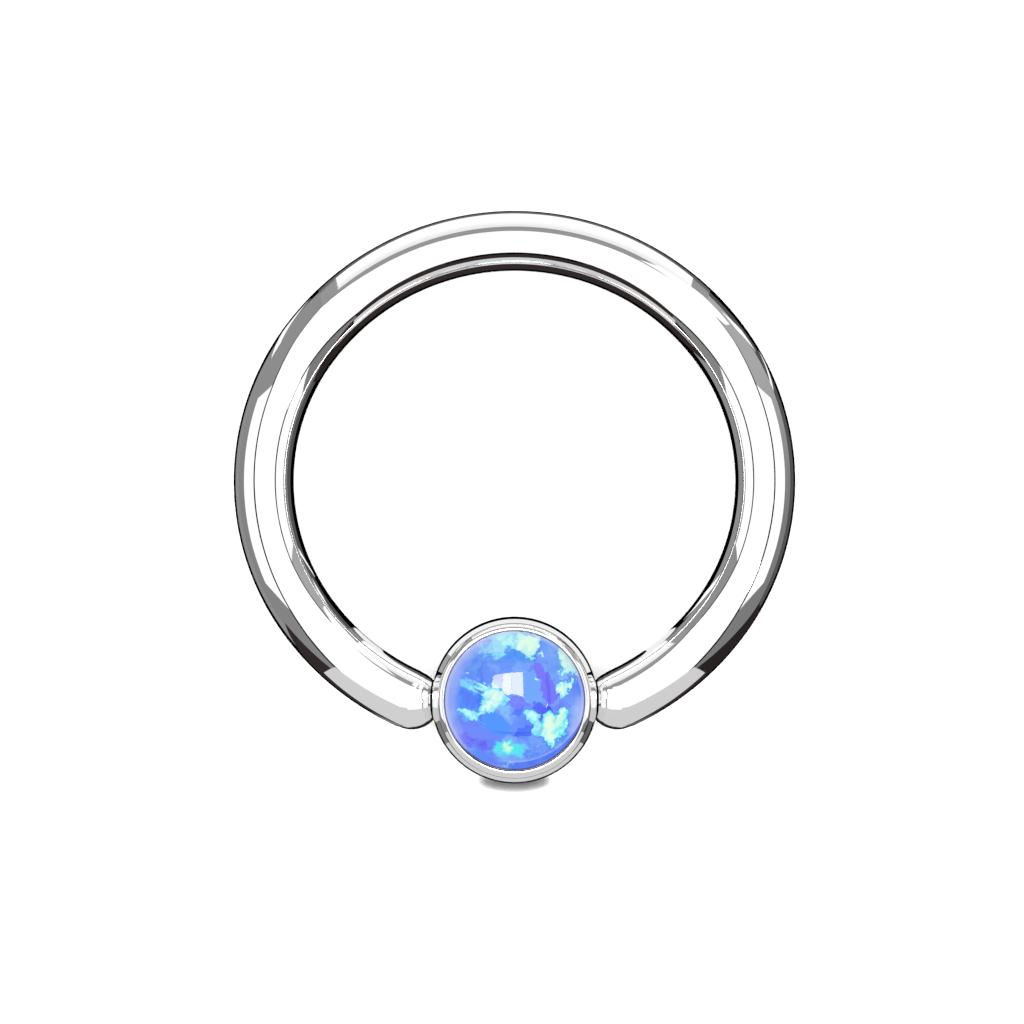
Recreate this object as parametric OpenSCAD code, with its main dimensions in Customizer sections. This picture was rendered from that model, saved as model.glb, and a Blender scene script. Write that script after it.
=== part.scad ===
// Captive bead ring: a sprung wire ring that holds a round bead with a bezel set cabochon
// between its two rounded tips. It lies on its side with the stone up. Sizes in mm, +Z up.

/* [Ring wire] */
// thickness of the round wire (14 gauge)
wire_d = 1.63; // [1.2:0.01:2]
// clear width of the ring, from side to side
inner_width = 12; // [10:0.5:16]
// how much the ring's clear height falls short of its clear width
oval_drop = 0.56; // [0.1:0.02:1]
// how much the polished ends of the wire lose in radius
tip_polish = 0.015; // [0.01:0.005:0.03]

/* [Bead] */
// length of the bead, from its flat back to the top of its lip
bead_depth = 2.5; // [2.3:0.05:3.2]
// metal around the stone at its widest, which sets the bead's diameter
bezel_wall = 0.25; // [0.24:0.01:0.5]
// rounding of the bead's back edge
back_round = 0.15; // [0.05:0.01:0.4]
// how far the tapered band below the lip leans in
taper_inset = 0.15; // [0.05:0.01:0.17]
// height of the tapered band below the lip
taper_height = 0.38; // [0.1:0.02:0.6]
// rounding of the lip's outer edge
lip_round = 0.22; // [0.1:0.01:0.25]

/* [Stone] */
// diameter of the cabochon
stone_d = 4; // [3.4:0.1:6]
// height of the cabochon's dome above its widest line
dome_height = 1.16; // [0.8:0.02:1.5]
// straight edge of the cabochon below its widest line
girdle_height = 0.25; // [0.1:0.01:0.35]
// how far the lip closes in over the edge of the stone
lip_reach = 0.1; // [0.05:0.01:0.2]

/* [Fits] */
// how far a wire tip reaches into its dimple in the bead's side
tip_nest = 0.26; // [0.15:0.01:0.32]
// running clearance between a wire tip and its dimple
swivel_clearance = 0.04; // [0.02:0.01:0.08]
// gap between the stone and its cup
stone_clearance = 0.03; // [0.01:0.01:0.05]

/* [Hidden] */
$fn = 96;
wire_steps = 48;

wire_r = wire_d / 2;
stone_r = stone_d / 2;
bead_r = stone_r + bezel_wall;

// A length to a thousandth of a millimetre, so that the arcs of the ring meet exactly.
function to_micron(length) = round(length * 1000) / 1000;

// The wire's centre line is an oval of two tight side arcs and two wide end arcs. They meet
// where the slope is 3 in 4, so with a step of 5 between their radii the arc centres lie 4
// sideways and 3 lengthwise from the oval's middle.
side_half = acos(0.8);
end_half = 90 - side_half;
half_w = to_micron(inner_width / 2 + wire_r);
radius_step = to_micron(1.25 * oval_drop);
side_shift = 0.8 * radius_step;
end_shift = 0.6 * radius_step;
side_radius = half_w - side_shift;
end_radius = side_radius + radius_step;
half_h = end_radius - end_shift;

// the tips: the centres of the ball ends that carry the bead
tip_r = wire_r - tip_polish;
tip_x = bead_r + tip_r - tip_nest;
tip_angle = asin(tip_x / end_radius);
tip_drop = end_radius * cos(tip_angle) - end_shift;
dimple_r = tip_r + swivel_clearance;

// the bead: its dimples are halfway up, and its back lies on the table
axle_height = bead_depth / 2;
lip_top = bead_depth;
lip_out_r = bead_r - taper_inset;
taper_top = lip_top - lip_round;
taper_foot = taper_top - taper_height;

// the stone: the shoulder and crown arcs of its dome, which meet at 45 degrees, and the
// height of its widest line
dome_shift = (stone_r - dome_height) / (2 - sqrt(2));
shoulder_radius = stone_r - dome_shift;
crown_radius = dome_height + dome_shift;
cup_shoulder = shoulder_radius + stone_clearance;
girdle_top = lip_top - sqrt(pow(cup_shoulder, 2) - pow(shoulder_radius - lip_reach, 2));

// how the ring rests: the bead stands on its back and the far side of the wire on the
// table, so the wire leans by a small angle about the dimples
far_reach = tip_drop + half_h;
lie_angle = asin((axle_height - wire_r) / far_reach);
front_reach = bead_r;
back_reach = far_reach * cos(lie_angle) + wire_r;
axle_y = (front_reach - back_reach) / 2;

// colours by material
steel = [0.84, 0.85, 0.86];
blue = [0.33, 0.5, 0.98];

// a piece of wire bent round the origin, from one angle on through a turn
module wire_arc(radius, from, turn) {
    rotate_extrude(angle = turn, start = from, $fn = wire_steps)
        translate([radius, 0])
            circle(r = wire_r, $fn = wire_steps);
}

// the right half of the ring, seen flat with its middle at the origin
module half_ring() {
    translate([side_shift, 0, 0])
        wire_arc(side_radius, -side_half, 2 * side_half);
    translate([0, -end_shift, 0])
        wire_arc(end_radius, side_half, end_half);
    translate([0, end_shift, 0])
        wire_arc(end_radius, -side_half, tip_angle - end_half);
    translate([tip_x, -tip_drop, 0])
        rotate([0, 90, tip_angle])
            sphere(r = tip_r, $fn = wire_steps);
}

module ring_wire() {
    color(steel)
        translate([0, axle_y, axle_height])
            rotate([-lie_angle, 0, 0])
                translate([0, tip_drop, 0]) {
                    half_ring();
                    rotate([0, 180, 0])
                        half_ring();
                }
}

// a quarter of a disc, to the right of and above its centre
module quarter_disc(radius) {
    intersection() {
        circle(r = radius);
        square([radius, radius]);
    }
}

// half of the cabochon's section, grown by the given amount, with its widest line at
// girdle_top: a straight edge, a shoulder up to 45 degrees and a flatter crown
module stone_section(grow) {
    reach = stone_r + dome_height;
    translate([0, girdle_top - girdle_height - grow])
        square([stone_r + grow, girdle_height + grow]);
    translate([dome_shift, girdle_top])
        intersection() {
            circle(r = shoulder_radius + grow);
            polygon([[0, 0], [reach, 0], [reach, reach]]);
        }
    translate([0, girdle_top])
        intersection() {
            translate([0, -dome_shift])
                circle(r = crown_radius + grow);
            polygon([[0, 0], [dome_shift, 0], [dome_shift + reach, reach], [0, reach]]);
        }
}

// half of the bead's outer section, from its axis to its side
module bead_section() {
    square([bead_r - back_round, back_round]);
    translate([bead_r - back_round, back_round])
        mirror([0, 1])
            quarter_disc(back_round);
    translate([0, back_round])
        square([bead_r, taper_foot - back_round]);
    polygon([[0, taper_foot], [bead_r, taper_foot], [lip_out_r, taper_top], [0, taper_top]]);
    translate([0, taper_top])
        square([lip_out_r - lip_round, lip_round]);
    translate([lip_out_r - lip_round, taper_top])
        quarter_disc(lip_round);
}

module bead_setting() {
    color(steel)
        translate([0, axle_y, 0])
            difference() {
                rotate_extrude()
                    bead_section();
                rotate_extrude()
                    stone_section(stone_clearance);
                for (side = [-1, 1])
                    translate([side * tip_x, 0, axle_height])
                        sphere(r = dimple_r);
            }
}

module opal() {
    color(blue)
        translate([0, axle_y, 0])
            rotate_extrude()
                stone_section(0);
}

ring_wire();
bead_setting();
opal();
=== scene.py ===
"""Looks of a captive bead ring: polished steel wire, its bead, and the blue opal set in it.

The ring lies on a pale floor with the stone up. Sizes are in millimetres, as the ring's maker
gives them, and meshes are built in metres.
"""
from __future__ import annotations

import logging
import math
from dataclasses import dataclass
from enum import Enum
from typing import Any

import bmesh
import bpy
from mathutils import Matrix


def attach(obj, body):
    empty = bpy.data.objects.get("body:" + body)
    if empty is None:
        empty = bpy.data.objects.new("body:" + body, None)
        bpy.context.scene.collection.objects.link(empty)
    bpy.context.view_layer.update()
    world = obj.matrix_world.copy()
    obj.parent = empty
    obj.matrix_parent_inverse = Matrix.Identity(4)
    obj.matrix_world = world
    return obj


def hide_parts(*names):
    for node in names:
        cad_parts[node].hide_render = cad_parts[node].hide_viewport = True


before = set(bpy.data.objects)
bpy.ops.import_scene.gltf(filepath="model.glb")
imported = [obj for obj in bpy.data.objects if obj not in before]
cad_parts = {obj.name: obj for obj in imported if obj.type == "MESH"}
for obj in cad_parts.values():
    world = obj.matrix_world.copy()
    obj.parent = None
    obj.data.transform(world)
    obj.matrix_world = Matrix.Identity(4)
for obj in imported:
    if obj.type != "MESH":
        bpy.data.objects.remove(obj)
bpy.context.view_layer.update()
# a millimetre in metres
MM = 0.001
log = logging.getLogger("captive_bead_ring")

Colour = tuple[float, float, float]
Point = tuple[float, float, float]
Profile = list[tuple[float, float]]
Outline = tuple[tuple[float, float], ...]
# the strength of the soft light, which the stone's colours allow for
SKY = 2.2
# the place of the line through the bead's two dimples, in millimetres
AXLE_Y = -5.5216
# the wire's side and end arcs meet where the slope is 3 in 4
MEET_COS, MEET_SIN = 0.8, 0.6


def grey(level: float) -> Colour:
    """Returns a colour without a hue."""
    return (level, level, level)


class Signal:
    """A node's output, which adds, multiplies and compares like a number."""

    def __init__(self, graph: "Graph", socket: bpy.types.NodeSocket) -> None:
        """Wraps a socket.

        Args:
            graph: the node tree's builder.
            socket: the output socket.
        """
        self.graph = graph
        self.socket = socket

    def __add__(self, other: "Number") -> "Signal":
        """Returns the sum."""
        return self.graph.math("ADD", self, other)

    __radd__ = __add__

    def __sub__(self, other: "Number") -> "Signal":
        """Returns the difference."""
        return self.graph.math("SUBTRACT", self, other)

    def __rsub__(self, other: "Number") -> "Signal":
        """Returns the difference with a number on the left."""
        return self.graph.math("SUBTRACT", other, self)

    def __mul__(self, other: "Number") -> "Signal":
        """Returns the product."""
        return self.graph.math("MULTIPLY", self, other)

    __rmul__ = __mul__

    def __truediv__(self, other: "Number") -> "Signal":
        """Returns the quotient."""
        return self.graph.math("DIVIDE", self, other)

    def __pow__(self, other: "Number") -> "Signal":
        """Returns a power."""
        return self.graph.math("POWER", self, other)

    def __gt__(self, other: "Number") -> "Signal":
        """Returns 1 where this is greater, else 0."""
        return self.graph.math("GREATER_THAN", self, other)

    def sin(self) -> "Signal":
        """Returns the sine of an angle in radians."""
        return self.graph.math("SINE", self)

    def cos(self) -> "Signal":
        """Returns the cosine of an angle in radians."""
        return self.graph.math("COSINE", self)

    def size(self) -> "Signal":
        """Returns the value without its sign."""
        return self.graph.math("ABSOLUTE", self)

    def sign(self) -> "Signal":
        """Returns 1, 0 or -1."""
        return self.graph.math("SIGN", self)

    def least(self, other: "Number") -> "Signal":
        """Returns the smaller of two values."""
        return self.graph.math("MINIMUM", self, other)

    def most(self, other: "Number") -> "Signal":
        """Returns the larger of two values."""
        return self.graph.math("MAXIMUM", self, other)

    def ramp(self, low: float, high: float) -> "Signal":
        """Returns a smooth step.

        Args:
            low: the value at which the step starts; it may be the larger one.
            high: the value at which it ends.

        Returns:
            0 before low and 1 after high, or the other way round.
        """
        inputs = {"Value": self, "From Min": min(low, high), "From Max": max(low, high)}
        step = self.graph.add("ShaderNodeMapRange", {"interpolation_type": "SMOOTHSTEP"}, inputs)
        return step if low < high else 1 - step


Number = Signal | float


class Graph:
    """Adds nodes to one node tree."""

    def __init__(self, tree: bpy.types.NodeTree) -> None:
        """Starts on a tree.

        Args:
            tree: the shader or geometry tree that is built.
        """
        self.tree = tree

    def node(
        self,
        kind: str,
        settings: dict[str, Any] | None = None,
        inputs: dict[str | int, Any] | None = None,
    ) -> bpy.types.Node:
        """Adds one node.

        Args:
            kind: the node's type.
            settings: its properties, set before its sockets.
            inputs: a value or Signal for each socket, by identifier, name or place.

        Returns:
            The node.
        """
        node = self.tree.nodes.new(kind)
        for name, value in (settings or {}).items():
            setattr(node, name, value)
        for key, value in (inputs or {}).items():
            socket = self._socket(node.inputs, key)
            if isinstance(value, Signal):
                self.tree.links.new(value.socket, socket)
            else:
                socket.default_value = value
        return node

    def add(
        self,
        kind: str,
        settings: dict[str, Any] | None = None,
        inputs: dict[str | int, Any] | None = None,
        output: str | int = 0,
    ) -> Signal:
        """Adds one node and returns one of its outputs.

        Args:
            kind: the node's type.
            settings: its properties.
            inputs: its sockets' values.
            output: the wanted output, by identifier, name or place.

        Returns:
            That output.
        """
        node = self.node(kind, settings, inputs)
        return Signal(self, self._socket(node.outputs, output))

    def math(self, operation: str, *values: Number) -> Signal:
        """Adds a Math node.

        Args:
            operation: the node's operation.
            values: its operands.

        Returns:
            The result.
        """
        return self.add("ShaderNodeMath", {"operation": operation}, dict(enumerate(values)))

    def vector(self, x: Number, y: Number, z: Number) -> Signal:
        """Joins three numbers into a vector."""
        return self.add("ShaderNodeCombineXYZ", None, {"X": x, "Y": y, "Z": z})

    def split(self, vector: Signal) -> tuple[Signal, Signal, Signal]:
        """Splits a vector.

        Args:
            vector: the vector.

        Returns:
            Its three numbers.
        """
        node = self.node("ShaderNodeSeparateXYZ", None, {"Vector": vector})
        x, y, z = (Signal(self, socket) for socket in node.outputs)
        return x, y, z

    def mix(self, factor: Number, first: Signal | Colour, second: Signal | Colour) -> Signal:
        """Mixes two colours.

        Args:
            factor: 0 gives the first colour and 1 the second.
            first: a colour.
            second: another colour.

        Returns:
            The mixed colour.
        """
        inputs = {
            "Factor_Float": factor,
            "A_Color": first if isinstance(first, Signal) else (*first, 1),
            "B_Color": second if isinstance(second, Signal) else (*second, 1),
        }
        return self.add("ShaderNodeMix", {"data_type": "RGBA"}, inputs, "Result_Color")

    def noise(self, place: Signal, scale: float, detail: float, output: str | int = 0) -> Signal:
        """Adds a Noise Texture.

        Args:
            place: where it is read.
            scale: its scale.
            detail: how many finer layers it has.
            output: the wanted output, its level or its colour.

        Returns:
            That output.
        """
        inputs = {"Vector": place, "Scale": scale, "Detail": detail}
        return self.add("ShaderNodeTexNoise", None, inputs, output)

    @staticmethod
    def _socket(sockets: bpy.types.bpy_prop_collection, key: str | int) -> bpy.types.NodeSocket:
        """Finds a socket.

        Args:
            sockets: a node's inputs or outputs.
            key: its place, identifier or name.

        Returns:
            The socket.
        """
        if isinstance(key, int):
            return sockets[key]
        for socket in sockets:
            if socket.identifier == key:
                return socket
        return sockets[key]


class MaterialGraph(Graph):
    """The node tree of a new material."""

    def __init__(self, name: str) -> None:
        """Makes an empty material.

        Args:
            name: the material's name.
        """
        self.material = bpy.data.materials.new(name)
        self.material.use_nodes = True
        self.material.node_tree.nodes.clear()
        super().__init__(self.material.node_tree)

    def finish(self, shader: Signal) -> bpy.types.Material:
        """Sends a shader to the material's output and returns the material."""
        self.node("ShaderNodeOutputMaterial", None, {"Surface": shader})
        return self.material

    def place_in_mm(self, centre: Point) -> Signal:
        """Gives the place on the piece.

        Args:
            centre: the point that counts as 0, in millimetres.

        Returns:
            The object's own coordinates, in millimetres from that point.
        """
        place = self.add("ShaderNodeTexCoord", None, None, "Object")
        inputs = {
            "Vector": place,
            "Location": tuple(-value for value in centre),
            "Scale": (1 / MM, 1 / MM, 1 / MM),
        }
        return self.add("ShaderNodeMapping", None, inputs)


@dataclass(frozen=True)
class PolishedSteel:
    """Mirror polished surgical steel, with the hairlines that polishing leaves."""

    name: str
    tint: Colour = (0.93, 0.93, 0.935)
    dull_share: float = 0.965
    roughness: float = 0.022
    cloud_roughness: float = 0.01
    cloud_scale: float = 0.6
    hairline_roughness: float = 0.03
    hairline_scale: float = 9.0
    hairline_depth: float = 0.00025
    along: Point = (1.0, 1.0, 1.0)
    from_uv: bool = False

    def material(self) -> bpy.types.Material:
        """Builds the material.

        Returns:
            A metal whose roughness and bump follow fine hairlines.
        """
        graph = MaterialGraph(self.name)
        if self.from_uv:
            place = graph.add("ShaderNodeUVMap", {"uv_map": "UVMap"})
        else:
            place = graph.place_in_mm((0, 0, 0))
        place = graph.add("ShaderNodeMapping", None, {"Vector": place, "Scale": self.along})
        hairlines = graph.noise(place, self.hairline_scale, 4.0).ramp(0.52, 0.8)
        cloud = graph.noise(place, self.cloud_scale, 2.0)
        roughness = hairlines * self.hairline_roughness + cloud * self.cloud_roughness
        relief = {"Height": hairlines, "Strength": 0.4, "Distance": self.hairline_depth * MM}
        dull = tuple(self.dull_share * value for value in self.tint)
        inputs = {
            "Base Color": graph.mix(cloud.ramp(0.35, 0.7), self.tint, dull),
            "Metallic": 1.0,
            "Roughness": roughness + self.roughness,
            "Normal": graph.add("ShaderNodeBump", None, relief),
        }
        return graph.finish(graph.add("ShaderNodeBsdfPrincipled", None, inputs))


def seen(red: float, green: float, blue: float) -> Colour:
    """Gives the body colour that shows as a given screen colour in the studio's light.

    Args:
        red: the screen colour's red, from 0 to 255.
        green: its green.
        blue: its blue.

    Returns:
        The linear body colour, less the sheen that the polish adds.
    """
    sheen, through_polish = 0.04, 0.94
    shown = (((part / 255 + 0.055) / 1.055) ** 2.4 for part in (red, green, blue))
    return tuple(max(0.0, part - sheen) / (through_polish * SKY) for part in shown)


class Grain(Enum):
    """How the colour runs inside a flake: its middle level and how far it frays the edge."""

    PLAIN = (0.5, 0.03)
    SLANTED = (0.6, 0.16)
    LEVEL = (0.55, 0.1)
    RAYED = (0.5, 0.07)
    SPECKLED = (1.0, 0.9)


class Tint(Enum):
    """The colours of the opal's flakes, from the deepest blue to the brightest flash."""

    NIGHT = seen(76, 110, 247)
    DUSK = seen(88, 100, 246)
    NAVY = seen(88, 122, 249)
    VIOLET = seen(120, 122, 249)
    LILAC = seen(118, 142, 250)
    AZURE = seen(84, 150, 251)
    SKY = seen(114, 168, 251)
    HAZE = seen(126, 190, 252)
    PALE = seen(134, 190, 252)
    PEARL = seen(186, 222, 252)
    CYAN = seen(122, 226, 250)
    AQUA = seen(84, 236, 240)
    ICE = seen(196, 252, 250)
    LIME = seen(214, 255, 214)
    MINT = seen(226, 255, 236)


@dataclass(frozen=True)
class Flake:
    """One flake of the opal, which goes from one colour at its edge to another inside.

    It is made up of convex parts, whose outlines are in millimetres from the middle of the
    stone. The inner colour is reached at its depth, and the flake covers the ground fully once
    it is as deep as its softness. Its strength is how much it covers there, and its shade how
    dark a seam it has round it.
    """

    parts: tuple[Outline, ...]
    edge: Tint
    core: Tint
    depth: float = 0.12
    softness: float = 0.03
    grain: Grain = Grain.PLAIN
    strength: float = 1.0
    shade: float = 0.0


class OpalGraph(MaterialGraph):
    """The opal's node tree, with the torn place and the grains that its flakes share."""

    def __init__(self, name: str, centre: Point, burst: tuple[float, float]) -> None:
        """Starts the tree.

        Args:
            name: the material's name.
            centre: the middle of the stone, in millimetres.
            burst: the point that the rayed grain spreads from, seen from that middle.
        """
        super().__init__(name)
        self.place = self.place_in_mm(centre)
        self.torn = self._torn()
        self.grains = self._grains(burst)

    def _torn(self) -> Signal:
        """Bends the plan of the stone, so that straight outlines come out torn.

        Returns:
            The bent place, with 1 as its third part.
        """
        x, y, _ = self.split(self.place)
        for scale, bend in ((2.8, 0.14), (7.5, 0.2), (19.0, 0.09)):
            across, up, _ = self.split(self.noise(self.place, scale, 0.0, "Color"))
            x = x + (across - 0.5) * bend
            y = y + (up - 0.5) * bend
        return self.vector(x, y, 1.0)

    def _grains(self, burst: tuple[float, float]) -> dict[Grain, Signal]:
        """Makes the streaks that run through the flakes, from 0 to 1.

        Args:
            burst: the point that the rays spread from.

        Returns:
            The streaks of each kind of grain.
        """
        combs = {Grain.SLANTED: (28, 13.0), Grain.LEVEL: (-16, 9.0), Grain.PLAIN: (-60, 6.0)}
        grains = {}
        for grain, (degrees, fine) in combs.items():
            turn = {"Vector": self.place, "Rotation": (0, 0, math.radians(degrees))}
            turned = self.add("ShaderNodeMapping", None, turn)
            comb = {"Vector": turned, "Scale": (2.2, fine, 2.0)}
            grains[grain] = self._streaks(self.add("ShaderNodeMapping", None, comb))
        x, y, _ = self.split(self.place)
        x, y = x - burst[0], y - burst[1]
        out = (x * x + y * y + 0.0001) ** 0.5
        grains[Grain.RAYED] = self._streaks(self.vector(x / out * 3.2, y / out * 3.2, out * 2.5))
        cells = {"Vector": self.place, "Scale": 11.0}
        dots = self.add("ShaderNodeTexVoronoi", None, cells, "Distance")
        grains[Grain.SPECKLED] = dots.ramp(0.6, 0.35)
        return grains

    def _streaks(self, place: Signal) -> Signal:
        """Turns a combed place into streaks between 0 and 1."""
        return self.noise(place, 1.0, 3.0).ramp(0.32, 0.64)

    def depth_inside(self, outline: Outline) -> Signal:
        """Measures how far inside a convex outline a place is.

        Args:
            outline: the outline.

        Returns:
            The distance from its nearest side, below 0 outside.
        """
        inside: Signal | None = None
        corners = self._anticlockwise(outline)
        for (x0, y0), (x1, y1) in zip(corners, corners[1:] + corners[:1]):
            length = math.hypot(x1 - x0, y1 - y0)
            nx, ny = (y0 - y1) / length, (x1 - x0) / length
            side = {0: self.torn, 1: (nx, ny, -(nx * x0 + ny * y0))}
            edge = self.add("ShaderNodeVectorMath", {"operation": "DOT_PRODUCT"}, side, "Value")
            inside = edge if inside is None else inside.least(edge)
        return inside

    @staticmethod
    def _anticlockwise(outline: Outline) -> list[tuple[float, float]]:
        """Puts an outline's corners in order, anticlockwise round their middle.

        Args:
            outline: the outline.

        Returns:
            Its corners.
        """
        mid_x = sum(x for x, _ in outline) / len(outline)
        mid_y = sum(y for _, y in outline) / len(outline)
        return sorted(outline, key=lambda corner: math.atan2(corner[1] - mid_y, corner[0] - mid_x))


@dataclass(frozen=True)
class BlueOpal:
    """Synthetic blue opal: violet and blue flakes, torn cyan flashes and a clear polish."""

    name: str
    centre: Point
    rim: float
    flakes: tuple[Flake, ...]
    deep: Colour = seen(102, 143, 250)
    blue: Colour = seen(126, 172, 251)
    # painted light: the pale violet of the rim light painted at the stone's edge
    painted_rim_light: Colour = seen(196, 206, 252)
    # painted shade: the deeper blue painted at the stone's lower right edge, also the colour of the
    # flakes' seams
    painted_shade_crescent: Colour = seen(82, 110, 242)
    # painted shade: the dark line painted in the gap between the stone and the lip
    painted_gap_shade: Colour = seen(62, 64, 84)
    # how far up the circle that bounds the painted shade at the lower right is centred
    painted_shade_crescent_shift: float = 0.32
    seam_width: float = 0.06
    burst: tuple[float, float] = (-0.22, -1.23)

    def material(self) -> bpy.types.Material:
        """Builds the material.

        Returns:
            A glossy material with the flakes in its colour.
        """
        graph = OpalGraph(self.name, self.centre, self.burst)
        ground = self._ground(graph)
        for flake in self.flakes:
            ground = self._lay(graph, ground, flake)
        inputs = {
            "Base Color": self._rim(graph, ground),
            "Roughness": 0.25,
            "IOR": 1.46,
            "Specular IOR Level": 0.0,
            "Coat Weight": 1.0,
            "Coat Roughness": 0.012,
            "Coat IOR": 1.5,
        }
        return graph.finish(graph.add("ShaderNodeBsdfPrincipled", None, inputs))

    def _ground(self, graph: OpalGraph) -> Signal:
        """Makes the ground: two blues in soft ragged cells, brushed along the grain.

        Args:
            graph: the material.

        Returns:
            The ground's colour.
        """
        ragged = {"Vector": graph.torn, "Scale": 2.4, "Smoothness": 0.35}
        cells = graph.add("ShaderNodeTexVoronoi", {"feature": "SMOOTH_F1"}, ragged, "Color")
        cloud = graph.noise(graph.torn, 3.5, 4.0)
        shade, _, _ = graph.split(cells)
        brushed = graph.grains[Grain.SLANTED] + graph.grains[Grain.LEVEL]
        level = shade * 0.5 + cloud * 0.5 + brushed * 0.06
        return graph.mix(level.ramp(0.3, 0.85), self.deep, self.blue)

    def _lay(self, graph: OpalGraph, ground: Signal, flake: Flake) -> Signal:
        """Lays one flake over what is there.

        Args:
            graph: the material.
            ground: the colour so far.
            flake: the flake.

        Returns:
            The colour with the flake in it.
        """
        inside = graph.depth_inside(flake.parts[0])
        for outline in flake.parts[1:]:
            inside = inside.most(graph.depth_inside(outline))
        grain = graph.grains[flake.grain]
        level, fraying = flake.grain.value
        worn = inside + (grain - level) * fraying
        if flake.shade:
            seam = worn.ramp(-self.seam_width, 0.0) * flake.shade
            # the seam round a flake takes the deep blue of the painted shade at the stone's lower
            # right edge
            ground = graph.mix(seam, ground, self.painted_shade_crescent)
        cover = worn.ramp(0.0, flake.softness) * flake.strength
        core = worn.ramp(0.0, flake.depth) * (grain * 0.4 + 0.6)
        return graph.mix(cover, ground, graph.mix(core, flake.edge.value, flake.core.value))

    def _rim(self, graph: OpalGraph, ground: Signal) -> Signal:
        """Paints light and shade into the stone's edge.

        Args:
            graph: the material.
            ground: the colour so far.

        Returns:
            The colour with painted light and shade: a pale violet rim light at the left and right
            and round the edge but the bottom, a deeper blue shade with a pale highlight line at
            the lower right, and a dark line of shade in the gap along the lip, darkest at the
            bottom.
        """
        rim = self.rim
        x, y, _ = graph.split(graph.place)
        shifted = y - self.painted_shade_crescent_shift
        out = (x * x + y * y) ** 0.5
        off = (x * x + shifted * shifted) ** 0.5
        left, right, lower, below = (
            ((x * across + y * up) / (out + 0.01)).ramp(start, end)
            for across, up, start, end in (
                (-0.94, 0.34, 0.2, 0.9),
                (0.97, -0.22, 0.92, 0.98),
                (0.57, -0.82, 0.6, 0.8),
                (0.1, -0.99, 0.3, 0.8),
            )
        )
        # painted shade: a deeper blue arc at the lower right edge of the stone, with a painted pale
        # highlight line along its inner side
        painted_shade_crescent = off.ramp(rim * 1.035, rim * 1.045) * lower
        line = off.ramp(rim * 0.99, rim * 1.035) * (1 - painted_shade_crescent) * lower
        # painted rim light: pale violet at the left and right edges, and round the edge except at
        # the bottom
        glow = left * (out.ramp(rim * 0.8, rim * 0.87) * 0.24 + out.ramp(rim * 0.86, rim) * 0.5)
        glow = glow + right * out.ramp(rim * 0.8, rim * 0.94) * 0.6
        edge = out.ramp(rim * 0.93, rim * 0.97) * (1 - below) * 0.5
        for part in (glow.least(1.0), line * 0.3, edge):
            ground = graph.mix(part, ground, self.painted_rim_light)
        ground = graph.mix(painted_shade_crescent * 0.7, ground, self.painted_shade_crescent)
        # painted shade: a dark line in the gap between the stone and the lip, wider and darker at
        # the bottom
        gap_shade_amount = (out + below * 0.035).ramp(rim * 0.98, rim * 0.99)
        return graph.mix(gap_shade_amount * (below * 0.4 + 0.5), ground, self.painted_gap_shade)


class Body(Enum):
    """The bodies that move against each other."""

    RING = "ring"
    BEAD = "bead"


def place_piece(
    mesh: bpy.types.Mesh, name: str, node: str, body: Body
) -> bpy.types.Object:
    """Puts a finished mesh into the scene in place of a solid.

    Args:
        mesh: the piece's mesh, in metres, in its place.
        name: the piece's name.
        node: the solid that it stands for.
        body: the body that it rides on.

    Returns:
        The piece.
    """
    piece = bpy.data.objects.new(name, mesh)
    bpy.context.scene.collection.objects.link(piece)
    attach(piece, body.value)
    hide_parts(node)
    log.info("%s: %d faces", name, len(mesh.polygons))
    return piece


def arc(centre: tuple[float, float], radius: float, start: float, end: float, steps: int) -> Profile:
    """Draws an arc.

    Args:
        centre: its centre.
        radius: its radius.
        start: the angle of its first point, in degrees.
        end: the angle of its last point.
        steps: how many straight steps it has.

    Returns:
        Its points.
    """
    points = []
    for step in range(steps + 1):
        angle = math.radians(start + (end - start) * step / steps)
        points.append((centre[0] + radius * math.cos(angle), centre[1] + radius * math.sin(angle)))
    return points


@dataclass
class Lathe:
    """Turns a profile about an upright axis."""

    axis_y: float
    segments: int = 480
    crease: float = math.radians(12)

    def turn(self, name: str, profile: Profile) -> bpy.types.Mesh:
        """Makes the turned mesh.

        Args:
            name: the mesh's name.
            profile: distance from the axis and height of each point, in millimetres, from the
                lowest point on the axis, outwards and up, back to the axis.

        Returns:
            A closed mesh in metres, with its normals outwards.
        """
        shape = bmesh.new()
        rings = [self._ring(shape, radius, height) for radius, height in profile]
        for low, high in zip(rings, rings[1:]):
            self._bridge(shape, low, high)
        bmesh.ops.recalc_face_normals(shape, faces=shape.faces)
        mesh = bpy.data.meshes.new(name)
        shape.to_mesh(mesh)
        shape.free()
        self.shade(mesh)
        return mesh

    def shade(self, mesh: bpy.types.Mesh) -> None:
        """Shades a mesh smooth, apart from its creases."""
        mesh.shade_smooth()
        mesh.set_sharp_from_angle(angle=self.crease)

    def _ring(self, shape: bmesh.types.BMesh, radius: float, height: float) -> list[Any]:
        """Adds the points of one height, or one point on the axis.

        Args:
            shape: the mesh.
            radius: the distance from the axis.
            height: the height.

        Returns:
            The new points.
        """
        if radius < 1e-6:
            return [shape.verts.new((0, self.axis_y * MM, height * MM))]
        ring = []
        for segment in range(self.segments):
            angle = 2 * math.pi * segment / self.segments
            x = radius * math.cos(angle)
            y = self.axis_y + radius * math.sin(angle)
            ring.append(shape.verts.new((x * MM, y * MM, height * MM)))
        return ring

    def _bridge(self, shape: bmesh.types.BMesh, low: list[Any], high: list[Any]) -> None:
        """Joins two rings of points with faces.

        Args:
            shape: the mesh.
            low: the first ring, or a point on the axis.
            high: the next one.
        """
        for segment in range(self.segments):
            after = (segment + 1) % self.segments
            if len(low) == 1:
                corners = [low[0], high[after], high[segment]]
            elif len(high) == 1:
                corners = [low[segment], low[after], high[0]]
            else:
                corners = [low[segment], low[after], high[after], high[segment]]
            shape.faces.new(corners)


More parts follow.
